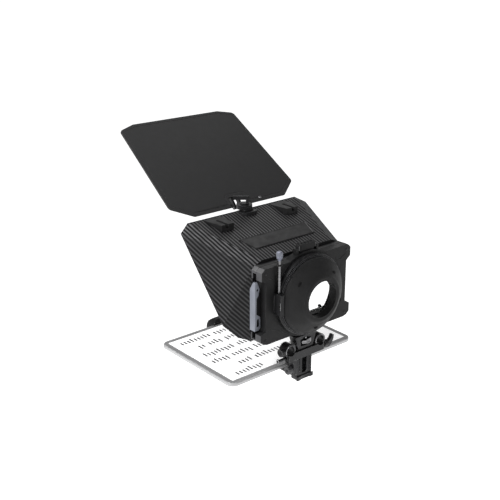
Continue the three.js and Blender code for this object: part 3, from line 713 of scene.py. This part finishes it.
def make_latch():
    """Polished paddle: dished middle, rounded ends and a socket screw."""
    A = M["anodised_black"]
    o = turned("latch_screw_fine", [(0, -0.9), (2.1, -0.9), (2.1, 0.1), (1.8, 0.35), (1.15, 0.35), (1.05, -0.5), (0, -0.5)],
               (-3.4, -0.8, 7.5), (0, -1, 0), M["bright_edge"], 36)
    stand_for(o, "latch_screw")
    made["latch_screw"] = o
    bm = bmesh.new()
    ring = rounded([Vector(p) for p in ((-9.2, 6.4), (3.6, 3.4), (9.2, 4.6), (9.2, 12.4), (-1.9, 9.9), (-9.2, 11.6))],
                   [1.4, 5.0, 3.0, 1.2, 3.0, 1.4], 8)
    prof = [(0.0, 2.9), (0.0, -1.0), (0.25, -1.45), (0.7, -1.6), (1.3, -1.6), (1.9, -1.25), (2.6, -1.05)]
    rows = [[bm.verts.new((p.x * MM, y * MM, p.y * MM)) for p in (inset(ring, w) if w else ring)] for w, y in prof]
    m = len(ring)
    for r0, r1 in zip(rows, rows[1:]):
        for i in range(m):
            j = (i + 1) % m
            bm.faces.new((r0[i], r1[i], r1[j], r0[j]))
    bm.faces.new(rows[0])
    bm.faces.new(list(reversed(rows[-1])))
    bmesh.ops.triangulate(bm, faces=[f for f in bm.faces if len(f.verts) > 4])
    o = new_object("latch_fine", bm, M["steel"], 30)
    stand_for(o, "release_latch")
    made["release_latch"] = o
    # dark disc of painted shade standing for a hole in the paddle's right end
    o = turned("latch_recess", [(0, -0.5), (2.2, -0.5), (2.2, 0.25), (1.75, 0.30), (1.5, -0.15), (0, -0.15)],
               (3.3, -1.05, 7.4), (0, -1, 0), M["painted_shade_black"], 36)
    attach(o, "release_latch")
    # dark strip of painted shade standing for a pocket in the riser head's front
    strip("head_pocket", [(-6.6, -0.05, 14.3), (4.4, -0.05, 14.3)], 2.7, 0.12, M["painted_shade_black"], "riser_head")
    screw_head("head_pin", (-0.9, -0.1, 14.3), (0, -1, 0), 1.35, M["bright_edge"], "riser_head")


def make_jaw():
    """Front jaw with its two upper corners rounded off."""
    o = cleaned(NODES["front_jaw"], "jaw_fine", False)
    bm = bmesh.new()
    bm.from_mesh(o.data)
    r = 14.0
    for sx in (-1, 1):
        c = Vector((sx * (22 - r), 0, -24 - r))
        for deg in (9, 27, 45, 63, 81):
            n = Vector((sx * math.cos(math.radians(deg)), 0, math.sin(math.radians(deg))))
            cut = bmesh.ops.bisect_plane(bm, geom=list(bm.verts) + list(bm.edges) + list(bm.faces), dist=1e-7,
                                         plane_co=(c + n * r) * MM, plane_no=n, clear_outer=True)
            edges = [e for e in cut["geom_cut"] if isinstance(e, bmesh.types.BMEdge) and e.is_valid and e.is_boundary]
            if edges:
                bmesh.ops.holes_fill(bm, edges=edges, sides=0)
    bmesh.ops.recalc_face_normals(bm, faces=bm.faces)
    bm.to_mesh(o.data)
    bm.free()
    finish_mesh(o, 24)
    bevel(o, 0.0016, 3, 40)
    stand_for(o, "front_jaw", M["anodised_black"])
    made["front_jaw"] = o


def make_clips():
    """Glass clips seated on the hood floor."""
    for node in ("glass_clip_left", "glass_clip_right"):
        o = carry(node)
        z0 = min(v.co.z for v in o.data.vertices)
        for v in o.data.vertices:
            z = 0.0292 + (v.co.z - z0) * 0.72
            v.co.y += (z - v.co.z) / 1.4107
            v.co.z = z


def make_knob():
    """Clamp screw knob, drawn in to the slimmer knurled barrel."""
    o = carry("clamp_screw_knob", M["knob_blue"])
    for v in o.data.vertices:
        v.co.x = -0.0595 + (v.co.x + 0.0595) * 0.80
        v.co.y = -0.005 + (v.co.y + 0.005) * 0.80


def make_stage():
    """The stage halves, with painted light on the left: the upper left lug's top in a lighter tone, and its left faces
    and the lower left faces in a half-lit tone.
    """
    for node in ("rear_housing", "front_housing"):
        o = carry(node)
        me = o.data
        me.materials.append(M["painted_highlight_black"])
        me.materials.append(M["painted_half_light_black"])
        for p in me.polygons:
            if p.center.x < -0.072 and p.center.z > 0.119:
                if p.normal.z > 0.6:
                    p.material_index = 1
                elif p.normal.x < -0.6:
                    p.material_index = 2
            elif p.center.x < -0.072 and p.center.z < 0.048 and p.normal.x < -0.6:
                p.material_index = 2


def make_details():
    P = M["black_plastic"]
    A = M["anodised_black"]
    for i, (r, a0, a1) in enumerate(((64.2, -58, 62), (64.2, 122, 148), (64.2, 200, 238), (69.0, -34, 36))):
        ring_arc("stage_arc_%d" % i, r, 0.45, 0.0, a0, a1, P, "rear_housing")
    for i, r in enumerate((58.6, 60.4)):
        ring_arc("ring_line_%d" % i, r, 0.28, -10.0 if i == 0 else -9.2, 0, 359.9, M["wear_and_sheen_black"], "lens_ring", 120)
    # raised rim round the name plate, left without a name; its right end bar is in the painted highlight tone
    def on_roof(x, y, t):
        return (x, y, 177.7 + (y - 144.8) * 34 / 130.8 + t)
    up = (0, -0.2516, 0.9678)
    for i, (p, q) in enumerate((((63.6, 74.6), (55.8, 48.2)), ((55.8, 48.2), (-55.8, 48.2)), ((-55.8, 48.2), (-63.6, 74.6)),
                                ((-63.6, 74.6), (63.6, 74.6)))):
        strip("plate_rim_%d" % i, [on_roof(*p, 1.42), on_roof(*q, 1.42)], 0.8, 0.3, M["painted_highlight_black"] if i == 0 else P, "label_plate", up)
    # grip ribs on the hood release tab
    for i in range(5):
        strip("tab_rib_%d" % i, [(-12 + i * 6, 3.0, 162.4), (-12 + i * 6, 7.6, 162.4)], 1.2, 0.45, P, "hood_release_tab", (0, 0, 1))
    # corner braces pressed into the stage face
    for sx in (-1, 1):
        strip("brace_low_%d" % sx, [(sx * 36, 0, 29.5), (sx * 52, 0, 40), (sx * 70, 0, 47)], 1.0, 0.35, P, "rear_housing")
        strip("brace_top_%d" % sx, [(sx * 78, 0, 128), (sx * 64, 0, 121), (sx * 57, 0, 126)], 1.0, 0.35, P, "rear_housing")
        for z in (32.5, 133.5):
            screw_head("stage_screw_%d_%d" % (sx, z), (sx * 80, 0.02, z), (0, -1, 0), 1.7, A, "rear_housing")
    # rims of the clamp knobs; the lighter rims are painted highlights
    washer("height_knob_rim", (-32.2, 6, -33.5), (-1, 0, 0), 3.4, 5.0, 0.35, M["wear_and_sheen_black"], "height_lock_knob")
    washer("height_knob_cap", (-32.2, 6, -33.5), (-1, 0, 0), 0.0001, 2.4, 0.5, A, "height_lock_knob")
    washer("thumb_rim", (-46.4, 6, 0), (-1, 0, 0), 4.6, 5.5, 0.4, M["wear_and_sheen_black"], "left_rod_thumbscrew")
    washer("thumb_cap", (-46.4, 6, 0), (-1, 0, 0), 0.0001, 2.6, 0.6, A, "left_rod_thumbscrew")
    washer("wing_cap", (48.0, 4.5, -11), (1, 0, 0), 0.0001, 3.4, 0.5, A, "right_wing_lever")
    washer("wing_rim", (48.0, 4.5, -11), (1, 0, 0), 4.1, 4.9, 0.35, M["wear_and_sheen_black"], "right_wing_lever")
    for sx in (-1, 1):
        o = turned("rod_ring_lip_%d" % sx, [(7.65, 0), (9.9, 0), (9.9, 0.35), (9.5, 0.6), (8.1, 0.6), (7.65, 0.3)],
                   (sx * 30, 1.0, 0), (0, -1, 0), M["wear_and_sheen_black"], 56)
        attach(o, "rod_clamp_body")
    # painted highlights along the edges of the release tab and the ring clamp block, and dark strips of painted shade
    # standing for their slots
    strip("tab_edge_left", [(-16.5, 1.2, 153.6), (-15.7, 1.95, 159.7)], 1.2, 0.2, M["painted_highlight_black"], "hood_release_tab")
    strip("tab_edge_right", [(16.3, 1.2, 153.8), (15.6, 1.95, 159.4)], 0.8, 0.2, M["painted_highlight_black"], "hood_release_tab")
    strip("tab_slot_left", [(-12.8, 1.3, 154.2), (-12.6, 1.85, 158.8)], 1.2, 0.1, M["painted_shade_black"], "hood_release_tab")
    strip("block_edge", [(-65, -0.9, 72.5), (-65, -0.9, 99.0)], 0.6, 0.2, M["painted_highlight_black"], "ring_clamp_block", (-1, 0, 0))
    strip("block_slot", [(-65, -11.9, 76.0), (-65, -11.9, 96.0)], 1.5, 0.08, M["painted_shade_black"], "ring_clamp_block", (-1, 0, 0))
    strip("block_bright", [(-65, -14.2, 79.5), (-65, -14.2, 91.0)], 0.6, 0.25, M["bright_edge"], "ring_clamp_block", (-1, 0, 0))
    # painted highlights in bright metal on the rims of the rod rings, and the cross pin's end with a painted highlight
    # ring round a dark disc of painted shade for its socket
    for i, (cx, a0, a1) in enumerate(((-30, 112, 196), (-30, 250, 292), (30, 140, 214), (30, 40, 74))):
        ring_arc("rod_ring_highlight_%d" % i, 9.0, 0.34, 0.4, a0, a1, M["bright_edge"], "rod_clamp_body", 24, (cx, 0))
    washer("pin_rim", (-52.2, 4.5, -11), (-1, 0, 0), 1.9, 3.2, 0.3, M["bright_edge"], "cross_pin")
    washer("pin_socket", (-52.2, 4.5, -11), (-1, 0, 0), 0.0001, 1.7, 0.12, M["painted_shade_black"], "cross_pin")
    # knurl on the clamp screw knob
    for i in range(18):
        a = 2 * math.pi * i / 18
        strip("screw_knurl_%d" % i, [(-59.5 + 4.35 * math.cos(a), -5 + 4.35 * math.sin(a), 156.4),
                                     (-59.5 + 4.25 * math.cos(a), -5 + 4.25 * math.sin(a), 162.4)], 0.7, 0.35,
              M["blue_grey_metal"], "clamp_screw_knob", (math.cos(a), math.sin(a), 0))


make_hood()
make_flag()
make_tablet()
make_script()
make_donut()
make_latch()
make_jaw()
make_clips()
make_knob()
make_stage()
make_details()
CLAMP = ("rod_clamp_body", "riser_post", "riser_foot", "riser_foot_lip", "riser_head", "left_rod_thumbscrew", "right_wing_lever")
for node in sorted(NODES):
    if node not in made:
        carry(node, M["clamp_black"] if node in CLAMP else M["pin_steel"] if node == "cross_pin" else
              M["wear_and_sheen_black"] if node == "height_lock_knob" else None)

# ------------------------------------------------------- floor, light, camera
AZ, EL = math.radians(-40.11), math.radians(19.92)
back = Vector((math.sin(AZ) * math.cos(EL), -math.cos(AZ) * math.cos(EL), math.sin(EL)))
right = Vector((math.cos(AZ), math.sin(AZ), 0))
up = back.cross(right)
cam_data = bpy.data.cameras.new("camera")
cam_data.sensor_width = 36.0
cam_data.sensor_fit = "HORIZONTAL"
cam_data.lens = 36.0 * 892.71 / 500
cam_data.clip_start = 0.01
cam_data.clip_end = 60
cam = bpy.data.objects.new("camera", cam_data)
cam.matrix_world = Matrix((
    (right.x, up.x, back.x, -0.83546),
    (right.y, up.y, back.y, -0.86277),
    (right.z, up.z, back.z, 0.58548),
    (0, 0, 0, 1)))
bpy.context.scene.collection.objects.link(cam)
bpy.context.scene.camera = cam


def floor():
    bm = bmesh.new()
    s, z = 30.0, -0.50
    vs = [bm.verts.new((x, y, z)) for x, y in ((-s, -s), (s, -s), (s, s), (-s, s))]
    bm.faces.new(vs)
    k = Mat("pale_floor")
    base = k.ramp(k.noise(2.0, 3), [(0.3, (0.90, 0.90, 0.90)), (0.7, (0.93, 0.93, 0.93))])
    k.set(Base_Color=base, Roughness=k.remap(k.noise(5.0, 3), 0.3, 0.7, 0.8, 0.95), Emission_Color=(1.0, 1.0, 1.0), Emission_Strength=0.78)
    o = new_object("floor", bm, k.m)


floor()

world = bpy.data.worlds.new("studio")
bpy.context.scene.world = world
world.use_nodes = True
wt = world.node_tree
bg = wt.nodes["Background"]
bg.inputs[0].default_value = (1, 1, 1, 1)
sky = wt.nodes.new("ShaderNodeTexCoord")
sep = wt.nodes.new("ShaderNodeSeparateXYZ")
band = wt.nodes.new("ShaderNodeMapRange")
wt.links.new(sky.outputs["Generated"], sep.inputs[0])
wt.links.new(sep.outputs[2], band.inputs[0])
for i, v in enumerate((0.08, 0.24, 1.0, 0.31)):
    band.inputs[1 + i].default_value = v
wt.links.new(band.outputs[0], bg.inputs[1])


def area(name, loc, target, size, power, size_y=None):
    d = bpy.data.lights.new(name, "AREA")
    d.shape = "RECTANGLE"
    d.size = size
    d.size_y = size_y or size
    d.energy = power
    o = bpy.data.objects.new(name, d)
    bpy.context.scene.collection.objects.link(o)
    o.location = loc
    o.rotation_euler = (Vector(target) - Vector(loc)).to_track_quat("-Z", "Y").to_euler()
    return o


area("key", (-0.95, 0.35, 0.95), (-0.06, 0.10, 0.14), 0.5, 17)
area("front", (-0.7, -1.3, 1.7), (0, 0.0, 0.08), 0.5, 7)
area("rim", (0.9, 1.0, 1.2), (0, 0.1, 0.1), 0.6, 3.5)

sc = bpy.context.scene
sc.view_settings.view_transform = "Standard"
sc.view_settings.look = "None"
sc.view_settings.exposure = 0.0
sc.view_settings.gamma = 1.0
